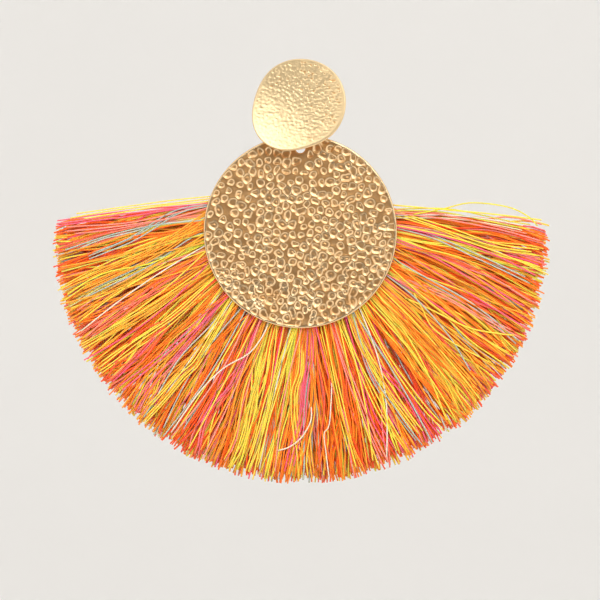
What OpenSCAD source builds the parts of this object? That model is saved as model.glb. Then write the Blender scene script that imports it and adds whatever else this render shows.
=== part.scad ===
/* [Stud] */
// Mean diameter of the small disc
stud_d = 16.8; // [14:0.1:20]
// Thickness of the small disc
stud_t = 1.2; // [0.8:0.1:1.6]
// How far the small disc is dished, one radius out from the bottom of its dish
stud_dish = 0.9; // [0.1:0.1:1.2]
// Height of the post above the middle of the small disc
post_up = 2.7; // [1:0.1:4]
// Diameter of the ear post
post_d = 0.8; // [0.7:0.05:1]
// Length of the ear post behind the small disc
post_l = 10.5; // [9:0.5:12]

/* [Link] */
// Diameter of the wire that the ring and the eye are bent from
wire_d = 0.8; // [0.6:0.05:0.9]
// Outer diameter of the ring
ring_d = 5.6; // [5.4:0.1:6.2]
// Distance of the eye's far end below the post
eye_down = 6; // [5.4:0.1:7]
// Inside width of the eye
eye_in = 1.2; // [1.1:0.05:1.6]
// Distance from the post's root back to the plane that the large disc hangs in
hang_back = 2.9; // [2.8:0.1:4]
// Play between two wires that hang in each other
link_gap = 0.1; // [0.08:0.01:0.15]

/* [Large disc] */
// Diameter of the large disc
disc_d = 35; // [30:0.5:40]
// Thickness of the large disc
disc_t = 0.8; // [0.6:0.05:1]
// Bevel round the large disc's two edges
disc_bevel = 0.12; // [0.05:0.01:0.2]
// Diameter of the hole near its top edge
hole_d = 1.8; // [1.5:0.05:2.2]
// Distance from the top edge to the hole's centre
hole_edge = 2.4; // [2.2:0.1:3]
// Number of hammer marks on the large disc
mark_n = 230; // [100:5:260]
// Mean diameter of a hammer mark
mark_d = 1.5; // [1:0.05:1.6]
// Depth of a hammer mark
mark_depth = 0.14; // [0.06:0.01:0.2]
// Width of a mark's flat floor, as a share of the mark
mark_floor = 0.45; // [0.2:0.05:0.7]

/* [Fringe] */
// Diameter of the circle that the ends of the threads reach
hem_d = 90.2; // [80:0.2:96]
// Distance of that circle's centre below the middle of the large disc
hem_down = 0.7; // [0:0.1:3]
// Distance of that circle's centre to the right of the middle of the large disc
hem_side = 0.2; // [-1:0.1:1]
// Distance to the right from the disc's middle to the point that the threads fan out from
fan_side = 2.8; // [0:0.1:3]
// Height of that point above the disc's middle
fan_up = 4.8; // [3:0.1:6]
// Direction of the leftmost threads at the head, in degrees from straight down
fan_left = -104; // [-110:1:-70]
// Direction of the rightmost threads at the head, in degrees from straight down
fan_right = 97; // [70:1:110]
// How far the outermost threads come back down by their ends, as a share of that direction
fan_sag = 0.17; // [0:0.01:0.25]
// Inner radius of the bound head
head_in = 6; // [5:0.1:8]
// Thickness of the bound head
head_t = 4.6; // [3:0.1:6]
// Number of locks in the fringe
lock_n = 36; // [24:1:40]
// Depth of the notch between the ends of two locks
lock_notch = 2.4; // [1:0.1:4]
// Gap between the back of the large disc and the bound head
seat_gap = 0.15; // [0.1:0.05:0.3]

/* [Hidden] */

gold = "#d9b070";
thread = "#f0863c";

// The frame stands at the root of the post: X to the right, Y to the back, Z up.
// What hangs is placed from the eye down: ring, hole, large disc, fringe.
wire_r = wire_d / 2;
ring_r = ring_d / 2 - wire_r;
eye_r = eye_in / 2 + wire_r;
eye_z = -eye_down;
ring_z = eye_z - (ring_r - 2 * wire_r - link_gap);
pivot_z = ring_z - ring_r;
hole_z = pivot_z - (hole_d / 2 - wire_r - link_gap);
disc_r = disc_d / 2;
disc_z = hole_z - (disc_r - hole_edge);
disc_back = hang_back + disc_t / 2;

// Outline of the stud: how many times each wave goes round, its height as a share
// of the radius, and the direction of its first crest.
stud_r = stud_d / 2;
stud_side = -0.04 * stud_r;
waves = [
    // round, share, crest
    [2, 0.055, 40],
    [3, 0.028, -15],
    [4, 0.014, 43],
];
// Bottom of the stud's dish, as shares of its radius from the post
dish_at = [-0.4, -0.06] * stud_r;
// Rings of points on the stud's front and back, as shares of its radius
front_rings = [0.14, 0.27, 0.4, 0.52, 0.63, 0.73, 0.82, 0.9, 0.965];
back_rings = [0.97, 0.66, 0.33];
stud_sectors = 44;
stud_relief = 0.05;
stud_seed = 7;
edge_round = 0.28 * stud_t;

function total(list) = list * [for (x = list) 1];
function stud_rim(a) = stud_r * (1 + total([for (w = waves) w[1] * cos(w[0] * (a - w[2]))]));
function dish(x, z) = stud_dish / pow(stud_r, 2)
    * (pow(x - dish_at[0], 2) + pow(z - dish_at[1], 2) - dish_at * dish_at);
function stud_point(share, a, forward) =
    let (r = share * stud_rim(a), x = stud_side + r * cos(a), z = r * sin(a) - post_up)
    [x, -dish(x, z) - forward, z];

// Ring k of a surface that n points go round, as triangles to ring k + 1
function band(k, n) = [
    for (i = [0:n - 1])
        let (a = k * n + i, b = k * n + (i + 1) % n)
        each [[a, b, b + n], [a, b + n, a + n]]
];

module stud_disc() {
    n = stud_sectors;
    front_n = len(front_rings);
    bumps = rands(-stud_relief, stud_relief, front_n * n, stud_seed);
    rows = [
        for (k = [0:front_n - 1])
            [for (i = [0:n - 1])
                stud_point(front_rings[k], 360 * i / n, stud_t + bumps[k * n + i])],
        [for (i = [0:n - 1]) stud_point(1, 360 * i / n, stud_t - edge_round)],
        [for (i = [0:n - 1]) stud_point(1, 360 * i / n, edge_round)],
        for (share = back_rings) [for (i = [0:n - 1]) stud_point(share, 360 * i / n, 0)],
    ];
    count = len(rows);
    front_mid = count * n;
    last = (count - 1) * n;
    points = [
        for (row = rows) each row,
        stud_point(0, 0, stud_t),
        stud_point(0, 0, 0),
    ];
    faces = [
        for (k = [0:count - 2]) each band(k, n),
        for (i = [0:n - 1]) [front_mid, (i + 1) % n, i],
        for (i = [0:n - 1]) [front_mid + 1, last + i, last + (i + 1) % n],
    ];
    polyhedron(points, faces, convexity = 4);
}

module post() {
    tip = post_d / 2;
    tip_end = post_d / 3;
    rotate([-90, 0, 0]) {
        translate([0, 0, -stud_t / 2])
            cylinder(d = post_d, h = stud_t / 2 + post_l - tip, $fn = 32);
        translate([0, 0, post_l - tip])
            cylinder(d1 = post_d, d2 = tip_end, h = tip, $fn = 32);
    }
}

module eye() {
    bow_y = hang_back - eye_r;
    translate([0, bow_y, eye_z])
        rotate_extrude(angle = 180, $fn = 48)
            translate([eye_r, 0]) circle(wire_r, $fn = 24);
    for (side = [-1, 1]) {
        root_y = -dish(side * eye_r, eye_z) - stud_t / 2;
        translate([side * eye_r, root_y, eye_z])
            rotate([-90, 0, 0]) cylinder(r = wire_r, h = bow_y - root_y, $fn = 24);
    }
}

module stud() {
    color(gold) {
        stud_disc();
        post();
        eye();
    }
}

module jump_ring() {
    color(gold)
        translate([0, hang_back, ring_z])
            rotate([0, 90, 0])
                rotate_extrude($fn = 64)
                    translate([ring_r, 0]) circle(wire_r, $fn = 24);
}

// Hammer marks lie along a sunflower spiral, each nudged and sized by chance, and
// those that would cut the hole or the edge are left out.
turn = 137.508;
nudge = 0.12 * mark_d;
mark_seed = 11;
mark_clear = 1.5 * disc_bevel;
mark_edge = mark_d / 2 + mark_clear;
mark_small = 0.83;
mark_big = 1.03;
// How far a cutter stands out of the face it cuts
over = 0.02;
function mark_place(i, chance) =
    let (r = (disc_r - mark_edge) * sqrt((i + 0.5) / mark_n))
    [r * cos(i * turn) + nudge * chance[2 * i], r * sin(i * turn) + nudge * chance[2 * i + 1]];

module large_disc() {
    half = disc_t / 2;
    chance = rands(-1, 1, 2 * mark_n, mark_seed);
    sizes = rands(mark_small, mark_big, mark_n, mark_seed + 1) * mark_d;
    hole_at = disc_r - hole_edge;
    color(gold)
        translate([0, hang_back, disc_z])
            rotate([90, 0, 0])
                difference() {
                    rotate_extrude($fn = 180)
                        polygon([
                            [0, -half], [disc_r - disc_bevel, -half], [disc_r, -half + disc_bevel],
                            [disc_r, half - disc_bevel], [disc_r - disc_bevel, half], [0, half],
                        ]);
                    translate([0, hole_at, -disc_t])
                        cylinder(d = hole_d, h = 2 * disc_t, $fn = 32);
                    for (i = [0:mark_n - 1]) {
                        at = mark_place(i, chance);
                        size = sizes[i];
                        slope = size * (1 - mark_floor) / mark_depth;
                        if (norm(at - [0, hole_at]) > (hole_d + mark_d) / 2 + mark_clear
                            && norm(at) < disc_r - mark_edge)
                            translate([at[0], at[1], half - mark_depth])
                                cylinder(
                                    d1 = size * mark_floor,
                                    d2 = size + slope * over,
                                    h = mark_depth + over, $fn = 24);
                    }
                }
}

// Rings of the fringe from the head to the hem: place along the threads, thickness
// as a share of the head's, and depth of the valleys between locks as a share of
// the thickness there.
sections = [
    // place, thick, valley
    [0, 0.5, 0],
    [0.03, 0.9, 0.04],
    [0.08, 1, 0.04],
    [0.13, 0.78, 0.06],
    [0.2, 0.86, 0.1],
    [0.36, 0.8, 0.2],
    [0.56, 0.7, 0.3],
    [0.76, 0.62, 0.4],
    [0.92, 0.52, 0.55],
    [1, 0.26, 0.6],
];
// Points across one lock: place, how much of a valley each is, and how much of
// the notch at the hem each takes.
across = [
    // place, valley, notch
    [0, 1, 1],
    [0.25, 0.4, 0.3],
    [0.5, 0, 0],
    [0.75, 0.4, 0.25],
];
// By chance a lock leans to one side, stands to the front or the back, or ends short.
lock_lean = 0.7;
lock_stagger = 0.35;
lock_short = 1.6;
lock_seed = 23;

function hem_reach(a) =
    let (to = [hem_side - fan_side, -hem_down - fan_up], way = [sin(a), -cos(a)], along = to * way)
    along + sqrt(pow(hem_d / 2, 2) - to * to + pow(along, 2));

module fringe() {
    per = len(across);
    columns = lock_n * per + 1;
    leans = rands(-lock_lean, lock_lean, lock_n + 1, lock_seed);
    staggers = rands(-lock_stagger, lock_stagger, lock_n + 1, lock_seed + 1);
    shorts = rands(0, lock_short, lock_n + 1, lock_seed + 2);
    mid_y = disc_back + seat_gap + head_t / 2;
    centre = [fan_side, disc_z + fan_up];
    function side_y(i, k, side) =
        let (
            lock = floor(i / per),
            place = across[i % per],
            row = sections[k],
            half = row[1] * head_t / 2 * (1 - row[2] * place[1]),
            stagger = staggers[lock] * row[0] * (1 - place[1])
        )
        mid_y + stagger + side * half;
    function point(i, k, side) =
        let (
            lock = floor(i / per),
            place = across[i % per],
            v = sections[k][0],
            start = fan_left + (fan_right - fan_left) * (lock + place[0]) / lock_n,
            sag = fan_sag * pow(start / max(fan_right, -fan_left), 2) * (1 - pow(1 - v, 2)),
            a = start * (1 - sag) + leans[lock] * (1 - place[1]) * v * v,
            end = hem_reach(a) - lock_notch * place[2] - shorts[lock] * (1 - place[1]),
            r = head_in + (end - head_in) * v
        )
        [centre[0] + r * sin(a), side_y(i, k, side), centre[1] - r * cos(a)];
    count = len(sections);
    sheet = count * columns;
    points = [
        for (side = [-1, 1]) for (k = [0:count - 1]) for (i = [0:columns - 1]) point(i, k, side)
    ];
    function at(i, k) = k * columns + i;
    faces = [
        for (k = [0:count - 2]) for (i = [0:columns - 2])
            let (a = at(i, k), b = at(i + 1, k), c = at(i + 1, k + 1), d = at(i, k + 1))
            each [
                [a, b, c], [a, c, d],
                [sheet + a, sheet + c, sheet + b], [sheet + a, sheet + d, sheet + c],
            ],
        for (i = [0:columns - 2])
            let (a = at(i, 0), b = at(i + 1, 0), c = at(i, count - 1), d = at(i + 1, count - 1))
            each [
                [a, sheet + a, sheet + b], [a, sheet + b, b],
                [c, sheet + d, sheet + c], [c, d, sheet + d],
            ],
        for (k = [0:count - 2])
            let (a = at(0, k), b = at(0, k + 1), c = at(columns - 1, k), d = at(columns - 1, k + 1))
            each [
                [a, b, sheet + b], [a, sheet + b, sheet + a],
                [c, sheet + d, d], [c, sheet + c, sheet + d],
            ],
    ];
    color(thread) polyhedron(points, faces, convexity = 8);
}

stud();
jump_ring();
large_disc();
fringe();
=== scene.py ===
"""Dresses the tassel earring: hammered discs, a wire ring and a fan of coloured thread."""

import math

import bmesh
import bpy
import numpy as np
from bpy.props import FloatProperty, FloatVectorProperty, IntProperty, PointerProperty
from bpy.types import Operator, Panel, PropertyGroup
from mathutils import Matrix, Vector, noise


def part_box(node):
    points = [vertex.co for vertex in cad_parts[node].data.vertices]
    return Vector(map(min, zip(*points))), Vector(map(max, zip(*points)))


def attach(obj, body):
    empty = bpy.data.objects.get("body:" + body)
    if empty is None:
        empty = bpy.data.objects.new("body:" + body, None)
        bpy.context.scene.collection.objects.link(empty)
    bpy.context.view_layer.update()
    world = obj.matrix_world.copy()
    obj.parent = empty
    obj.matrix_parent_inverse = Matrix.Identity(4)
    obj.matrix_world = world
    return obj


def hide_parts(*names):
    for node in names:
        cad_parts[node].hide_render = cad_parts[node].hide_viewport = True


bl_info = {
    "name": "Tassel earring",
    "version": (1, 0, 0),
    "blender": (4, 5, 0),
    "location": "View3D > Sidebar > Earring",
    "description": "Hammered discs, wire ring and thread fringe of a tassel earring",
    "category": "Object",
}

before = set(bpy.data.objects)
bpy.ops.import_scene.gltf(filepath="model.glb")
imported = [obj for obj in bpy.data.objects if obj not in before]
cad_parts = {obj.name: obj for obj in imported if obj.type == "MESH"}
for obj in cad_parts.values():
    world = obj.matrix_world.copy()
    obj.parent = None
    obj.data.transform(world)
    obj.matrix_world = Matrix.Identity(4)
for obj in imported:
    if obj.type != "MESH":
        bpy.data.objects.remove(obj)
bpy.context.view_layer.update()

MM = 0.001

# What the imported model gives, in millimetres
DISC_LOW, DISC_HIGH = (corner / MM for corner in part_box("large_disc"))
RING_LOW, RING_HIGH = (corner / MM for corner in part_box("jump_ring"))
DISC_X = (DISC_LOW.x + DISC_HIGH.x) / 2
DISC_Z = (DISC_LOW.z + DISC_HIGH.z) / 2
DISC_R = (DISC_HIGH.x - DISC_LOW.x) / 2
DISC_FRONT, DISC_BACK = DISC_LOW.y, DISC_HIGH.y
WIRE_R = (RING_HIGH.x - RING_LOW.x) / 2
RING_Y = (RING_LOW.y + RING_HIGH.y) / 2
RING_Z = (RING_LOW.z + RING_HIGH.z) / 2
RING_R = (RING_HIGH.z - RING_LOW.z) / 2 - WIRE_R

# What the part's source gives, in millimetres and degrees
DISC_EDGE = 0.14
HOLE_R = 0.9
HOLE_Z = DISC_HIGH.z - 2.4
STUD_R = 8.4
STUD_T = 1.2
STUD_DISH = 0.9
STUD_EDGE = 0.3
STUD_X, STUD_Z = -0.336, -2.7
DISH_X, DISH_Z = -3.36, -0.504
STUD_WAVES = ((2, 0.055, 40), (3, 0.028, -15), (4, 0.014, 43))
POST_R = 0.4
POST_END = 10.5
EYE_R = 1.0
EYE_Z = -6.0
EYE_BOW_Y = 1.9
FAN_X, FAN_Z = 2.8, DISC_Z + 4.8
FAN_LEFT, FAN_RIGHT = -104, 97
HEAD_R = 6.0
HEAD_FRONT, HEAD_BACK = 3.45, 8.05
HEAD_MIDDLE = (HEAD_FRONT + HEAD_BACK) / 2
HEM_X, HEM_Z, HEM_R = 0.2, DISC_Z - 0.7, 45.1

# Other places, in millimetres and degrees: the ring's butted joint, the cord that binds the
# head, the rim angles that threads leave at, and how far from straight down one may lie
BUTT_AT, BUTT_GAP = math.radians(62), 0.03
BINDING_Y, BINDING_RADII, BINDING_PITCH = 8.0, (8.35, 9.2), 1.5
FIRST_ANGLE, ANGLE_SPAN = -106.5, 209.5
STEEPEST = 82.3


def linear(hex_colour):
    """An sRGB hex colour as the four linear values that Blender's sockets take."""
    parts = [int(hex_colour[i:i + 2], 16) / 255 for i in (1, 3, 5)]
    return tuple(
        c / 12.92 if c <= 0.04045 else ((c + 0.055) / 1.055) ** 2.4 for c in parts
    ) + (1.0,)


class PlateSettings(PropertyGroup):
    """The two hammered discs."""

    gold: FloatVectorProperty(
        name="Gold", description="Colour of the polished plating",
        subtype="COLOR", size=4, min=0, max=1, default=linear("#F6D7A9"))
    # Tarnish and painted shade: the browner colour painted on the flats, in the bottoms of the
    # marks and in random tarnish patches
    tarnish_and_painted_shade: FloatVectorProperty(
        name="Recess", description="Colour of the plating in the bottoms of the marks",
        subtype="COLOR", size=4, min=0, max=1, default=linear("#D7A36A"))
    stud_gold: FloatVectorProperty(
        name="Stud gold", description="Colour of the plating of the stud, which is paler",
        subtype="COLOR", size=4, min=0, max=1, default=linear("#FFE3B2"))
    marks: IntProperty(
        name="Marks", description="Number of hammer marks on the large disc",
        default=345, min=50, max=400)
    mark_width: FloatProperty(
        name="Mark width", description="Mean width of a hammer mark",
        default=1.76 * MM, min=0.5 * MM, max=3 * MM, unit="LENGTH")
    mark_depth: FloatProperty(
        name="Mark depth", description="Depth of a hammer mark",
        default=0.16 * MM, min=0, max=0.3 * MM, unit="LENGTH")
    pits: IntProperty(
        name="Pits", description="Number of small pits on the stud",
        default=420, min=50, max=900)


class ThreadSettings(PropertyGroup):
    """The fringe."""

    bundles: IntProperty(
        name="Bundles", description="Number of bundles of one colour",
        default=800, min=50, max=900)
    thickness: FloatProperty(
        name="Thickness", description="Thickness of one thread",
        default=0.3 * MM, min=0.1 * MM, max=1 * MM, unit="LENGTH")
    seed: IntProperty(name="Seed", description="Chooses another lie of the threads", default=5)


class StageSettings(PropertyGroup):
    """Floor, lights and camera."""

    floor: FloatVectorProperty(
        name="Floor", description="Colour of the floor and of the wall that it curves up into",
        subtype="COLOR", size=4, min=0, max=1, default=linear("#EDEDED"))
    key_power: FloatProperty(
        name="Key light", description="Power of the large light overhead",
        default=2.0, min=0, max=100, unit="POWER")


def finished(bm, name, material):
    """Turns a bmesh in millimetres into a smooth object at the origin, in metres."""
    mesh = bpy.data.meshes.new(name)
    bm.to_mesh(mesh)
    bm.free()
    mesh.transform(Matrix.Scale(MM, 4))
    mesh.materials.append(material)
    mesh.shade_smooth()
    piece = bpy.data.objects.new(name, mesh)
    bpy.context.scene.collection.objects.link(piece)
    return piece


def add_node(tree, node, settings=None, links=None):
    """Adds a node of this kind, or takes one that is there. Sets its ramp's stops, properties
    or unlinked sockets, and feeds its inputs from sockets or other nodes' first outputs."""
    if isinstance(node, str):
        node = tree.nodes.new(node)
    for key, value in (settings or {}).items():
        if key == "stops":
            elements = node.color_ramp.elements
            while len(elements) < len(value):
                elements.new(1.0)
            for element, (position, colour) in zip(elements, value):
                element.position = position
                element.color = colour
        elif isinstance(key, str) and hasattr(node, key):
            setattr(node, key, value)
        else:
            node.inputs[key].default_value = value
    for key, source in (links or {}).items():
        if isinstance(source, bpy.types.Node):
            source = source.outputs[0]
        tree.links.new(source, node.inputs[key])
    return node


def new_material(name):
    """An empty material with its Principled shader, and its tree."""
    material = bpy.data.materials.new(name)
    material.use_nodes = True
    tree = material.node_tree
    return material, tree, tree.nodes["Principled BSDF"]


# Sizes of the patterns on metal, in millimetres: tarnish on a plate, dents left by bending wire
STAIN_MM = 2.2
PATCH_MM = 0.9


def plated_brass(name, gold, tarnish_and_painted_shade, smooth_to, rough_to, grain_mm):
    """Gold-plated brass, hammered and then lightly polished. Its colour carries painted light: a
    stored value paints the walls of the marks the paler gold as painted highlight, and the flats
    and the bottoms of the marks browner as painted shade, with random tarnish mixed in. Roughness
    runs from smooth_to, where the value is highest, to rough_to."""
    material, tree, shader = new_material(name)
    polish = add_node(tree, "ShaderNodeAttribute", {"attribute_name": "polish"})
    place = add_node(tree, "ShaderNodeTexCoord").outputs["Object"]
    stain = add_node(tree, "ShaderNodeTexNoise",
                     {"Scale": 1 / (STAIN_MM * MM), "Detail": 3.0, "Roughness": 0.6},
                     {"Vector": place})
    level = add_node(tree, "ShaderNodeMath", {"operation": "MULTIPLY_ADD", 1: 0.35},
                     {0: stain, 2: polish.outputs["Fac"]})
    # Painted light: a high stored value paints the paler gold as painted highlight, a low one the
    # browner colour as painted shade
    share = add_node(tree, "ShaderNodeMapRange", {"From Min": 0.3, "From Max": 0.95},
                     {"Value": level})
    colour = add_node(tree, "ShaderNodeMix", {"data_type": "RGBA", 6: tarnish_and_painted_shade, 7: gold},
                      {0: share})
    rough = add_node(tree, "ShaderNodeMapRange",
                     {"From Min": 0.2, "From Max": 1.0, "To Min": rough_to, "To Max": smooth_to},
                     {"Value": level})
    grain = add_node(tree, "ShaderNodeTexNoise",
                     {"Scale": 1 / (grain_mm * MM), "Detail": 2.0}, {"Vector": place})
    bump = add_node(tree, "ShaderNodeBump", {"Strength": 0.35, "Distance": 0.02 * MM},
                    {"Height": grain})
    add_node(tree, shader, {"Metallic": 1.0},
             {"Base Color": colour.outputs[2], "Roughness": rough, "Normal": bump})
    return material


def plated_wire(gold, name="gold_plated_brass_wire"):
    """Drawn brass wire, gold-plated: smooth, with faint uneven patches where it was bent."""
    if name in bpy.data.materials:
        return bpy.data.materials[name]
    material, tree, shader = new_material(name)
    place = add_node(tree, "ShaderNodeTexCoord").outputs["Object"]
    patch = add_node(tree, "ShaderNodeTexNoise",
                     {"Scale": 1 / (PATCH_MM * MM), "Detail": 3.0}, {"Vector": place})
    ramp = add_node(tree, "ShaderNodeValToRGB",
                    {"stops": [(0.3, linear("#D9AE68")), (0.7, tuple(gold))]}, {"Fac": patch})
    rough = add_node(tree, "ShaderNodeMapRange", {"To Min": 0.16, "To Max": 0.32},
                     {"Value": patch})
    add_node(tree, shader, {"Metallic": 1.0}, {"Base Color": ramp, "Roughness": rough})
    return material


# The thread's dyes, from one end of the dye scale to the other, so that neighbours are alike
DYES = (
    ("grey_blue", "#98A49A", 0.035),
    ("white", "#CABFAE", 0.015),
    ("lime", "#C4BC34", 0.03),
    ("lemon", "#E3C043", 0.12),
    ("golden", "#E99628", 0.17),
    ("orange", "#EE700E", 0.325),
    ("flame", "#EA480D", 0.12),
    ("coral", "#E8644A", 0.11),
    ("blush", "#E48572", 0.075),
    ("pink", "#DE5270", 0.03),
)

# Length of one turn of a thread's twist, and the number of sides that a drawn thread has
TWIST_MM = 1.1
THREAD_SIDES = 5


def dye_at(name):
    """Where a dye lies on the dye scale, from 0 to 1."""
    names = [d[0] for d in DYES]
    return (names.index(name) + 0.5) / len(DYES)


def random_dyes(rng, count):
    """Dyes drawn by their share of the threads, as places on the dye scale."""
    shares = np.array([d[2] for d in DYES])
    return (rng.choice(len(DYES), count, p=shares / shares.sum()) + 0.5) / len(DYES)


def embroidery_thread(name="embroidery_thread_space_dyed"):
    """Polyester embroidery thread, twisted and space-dyed: silky, with a long soft highlight,
    light that passes a little way into it, a helical twist too fine to count, and a dye that
    drifts a little along each thread."""
    if name in bpy.data.materials:
        return bpy.data.materials[name]
    material, tree, shader = new_material(name)
    dyed = add_node(tree, "ShaderNodeUVMap", {"uv_map": "OFBake"})
    parts = add_node(tree, "ShaderNodeSeparateXYZ", links={"Vector": dyed})
    scale = add_node(tree, "ShaderNodeValToRGB",
                     {"stops": [(dye_at(n), linear(h)) for n, h, _ in DYES]},
                     {"Fac": parts.outputs["Y"]})
    # Blotches about 5 mm long, which differ from thread to thread
    stretched = add_node(tree, "ShaderNodeMapping", {"Scale": (9.0, 900.0, 1.0)},
                         {"Vector": dyed})
    uneven = add_node(tree, "ShaderNodeTexNoise", {"Scale": 1.0, "Detail": 2.0},
                      {"Vector": stretched})
    value = add_node(tree, "ShaderNodeMapRange",
                     {"From Min": 0.25, "From Max": 0.75, "To Min": 0.86, "To Max": 1.08},
                     {"Value": uneven})
    tint = add_node(tree, "ShaderNodeHueSaturation", links={"Color": scale, "Value": value})
    ply = add_node(tree, "ShaderNodeUVMap", {"uv_map": "twist"})
    turned = add_node(tree, "ShaderNodeSeparateXYZ", links={"Vector": ply})
    angle = add_node(tree, "ShaderNodeMath", {"operation": "ADD"},
                     {0: turned, 1: turned.outputs["Y"]})
    groove = add_node(tree, "ShaderNodeMath", {"operation": "PINGPONG", 1: 0.5}, {0: angle})
    bump = add_node(tree, "ShaderNodeBump", {"Strength": 0.35, "Distance": 0.03 * MM},
                    {"Height": groove})
    add_node(tree, shader, {
        "Roughness": 0.42, "Subsurface Weight": 0.65, "Subsurface Radius": (1.0, 0.55, 0.3),
        "Subsurface Scale": 0.5 * MM, "Specular IOR Level": 0.4, "Sheen Weight": 0.08,
        "Sheen Roughness": 0.4}, {"Base Color": tint, "Normal": bump})
    return material


def stud_rim(angle):
    """The stud's radius in each direction, in radians from the right."""
    return STUD_R * (1 + sum(
        share * np.cos(times * (angle - math.radians(crest)))
        for times, share, crest in STUD_WAVES))


def stud_dish(x, z):
    """How far the stud's back stands in front of the frame's origin plane."""
    return STUD_DISH / STUD_R ** 2 * (
        (x - DISH_X) ** 2 + (z - DISH_Z) ** 2 - DISH_X ** 2 - DISH_Z ** 2)


def fade(x, low, high):
    """0 below low, 1 above high, smooth between."""
    t = np.clip((x - low) / (high - low), 0, 1)
    return t * t * (3 - 2 * t)


def bell(x, middle, width):
    """A smooth bump of height 1."""
    return np.exp(-((x - middle) / width) ** 2)


def unit(vectors):
    """Vectors made one long."""
    return vectors / np.linalg.norm(vectors, axis=1)[:, None]


def field(x, z, size, seed, stretch=1.0):
    """Smooth noise between about -1 and 1, with features of this size in millimetres."""
    return np.array([
        noise.noise(Vector((a / (size * stretch), b / size, seed)))
        for a, b in zip(x, z)]) * 1.6


def scattered(rng, count, reach):
    """Places in a circle that keep apart from each other, first by choice and then by pushing."""
    places = np.zeros((count, 2))
    for i in range(count):
        r = reach * np.sqrt(rng.random_sample(24))
        a = rng.random_sample(24) * math.tau
        tries = np.stack([r * np.cos(a), r * np.sin(a)], 1)
        near = ((tries[:, None] - places[None, :i]) ** 2).sum(2).min(1) if i else r
        places[i] = tries[np.argmax(near)]
    # A little more than the distance between neighbours in an even honeycomb
    apart = 1.02 * reach * math.sqrt(2 * math.pi / math.sqrt(3) / count)
    for _ in range(7):
        gap = places[:, None] - places[None]
        far = np.sqrt((gap ** 2).sum(2)) + 1e-9
        push = np.clip(apart - far, 0, None) / far
        np.fill_diagonal(push, 0)
        places += 0.22 * (gap * push[:, :, None]).sum(1)
        out = np.hypot(places[:, 0], places[:, 1])
        places *= np.minimum(1, reach / out)[:, None]
    return places


def warped(x, z, much, size):
    """Places moved about a little, so that round marks struck there come out uneven."""
    return x + much * field(x, z, size, 31.0), z + much * field(x, z, size, 37.0)


def punched(rng, x, z, places, widths, depth, lip, wall):
    """Height of a surface struck at these places, and a value that paints its plating. Each mark
    has a raised lip, a wall, a floor with a pip and a line all round; the value paints the wall
    paler as painted highlight and the line all round browner as painted shade, and also makes the
    wall smoother. Wall is the width of the wall as a share of the mark's radius."""
    sunk, lips, inside, shade_line, highlight_wall = np.zeros((5, len(x)))
    for (cx, cz), width in zip(places, widths):
        radius = width / 2
        oval, lean, dent = rng.uniform(0, 0.16), rng.uniform(0, math.tau), rng.uniform(0, 0.1)
        deep, pip = rng.uniform(0.75, 1.2), rng.uniform(0.0, 0.5)
        slant, slant_way = rng.uniform(0, 0.25), rng.uniform(0, math.tau)
        if rng.random_sample() < 0.15:
            oval += 0.2
        near = np.flatnonzero((x - cx) ** 2 + (z - cz) ** 2 < (1.9 * radius) ** 2)
        dx, dz = x[near] - cx, z[near] - cz
        way = np.arctan2(dz, dx)
        outer = radius * (1 + oval * np.cos(2 * (way - lean)) + dent * np.cos(3 * way + lean))
        q = np.hypot(dx, dz) / outer
        floor = 1 - fade(q, 1 - wall, 0.99)
        slope = 1 + slant * q * np.cos(way - slant_way)
        centre = 1 - pip * (1 - fade(q, 0.05, 0.34))
        sunk[near] = np.minimum(sunk[near], -depth * deep * floor * slope * centre)
        # The second value is painted light: a painted highlight on the wall and a painted shade
        # line just outside the mark
        for whole, own in (
                (lips, lip * bell(q, 1.02, 0.14)),
                (inside, 1 - fade(q, 0.8, 0.98)),
                (shade_line, bell(q, 1.12, 0.1)),
                (highlight_wall, bell(q, 1 - 0.45 * wall, 0.38 * wall))):
            whole[near] = np.maximum(whole[near], own)
    return sunk + lips * (1 - inside), highlight_wall - shade_line * (1 - inside)


def round_grid(bm, cells):
    """A square grid bent into a circle of radius 1 that faces -Y. Its cells stay alike."""
    bmesh.ops.create_grid(bm, x_segments=cells, y_segments=cells, size=1.0)
    for v in bm.verts:
        a, b = v.co.x, v.co.y
        if abs(a) > abs(b):
            r, turn = a, math.pi / 4 * b / a
        else:
            r, turn = b, math.pi / 2 - (math.pi / 4 * a / b if abs(b) > 1e-9 else 0)
        v.co = (r * math.cos(turn), 0, r * math.sin(turn))


def open_edges(bm):
    """The edges that border only one face."""
    return [e for e in bm.edges if e.is_boundary]


def close(bm):
    """Closes each open end with one face, turns all faces outwards and returns the new ones."""
    caps = bmesh.ops.holes_fill(bm, edges=open_edges(bm), sides=0)["faces"]
    bmesh.ops.recalc_face_normals(bm, faces=bm.faces)
    return caps


def extruded(bm, edges):
    """Extrudes an open loop, and returns the vertices and the edges of the new one."""
    made = bmesh.ops.extrude_edge_only(bm, edges=edges)["geom"]
    verts = {v for v in made if isinstance(v, bmesh.types.BMVert)}
    return verts, [e for e in made if isinstance(e, bmesh.types.BMEdge)
                   and verts.issuperset(e.verts)]


def stepped(bm, edges, layer, steps):
    """Extrudes an open loop once for each step, and notes on each new vertex which step it is."""
    for step in steps:
        verts, edges = extruded(bm, edges)
        for v in verts:
            v[layer] = step
    return edges


def turned(points, axis, steps, merge):
    """Spins a line of points once round an axis through the origin."""
    bm = bmesh.new()
    line = [bm.verts.new(p) for p in points]
    edges = [bm.edges.new(pair) for pair in zip(line, line[1:])]
    bmesh.ops.spin(bm, geom=line + edges, cent=(0, 0, 0), axis=axis, dvec=(0, 0, 0),
                   angle=math.tau, steps=steps, use_merge=True, use_duplicate=False)
    bmesh.ops.remove_doubles(bm, verts=bm.verts, dist=merge)
    bmesh.ops.recalc_face_normals(bm, faces=bm.faces)
    return bm


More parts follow.
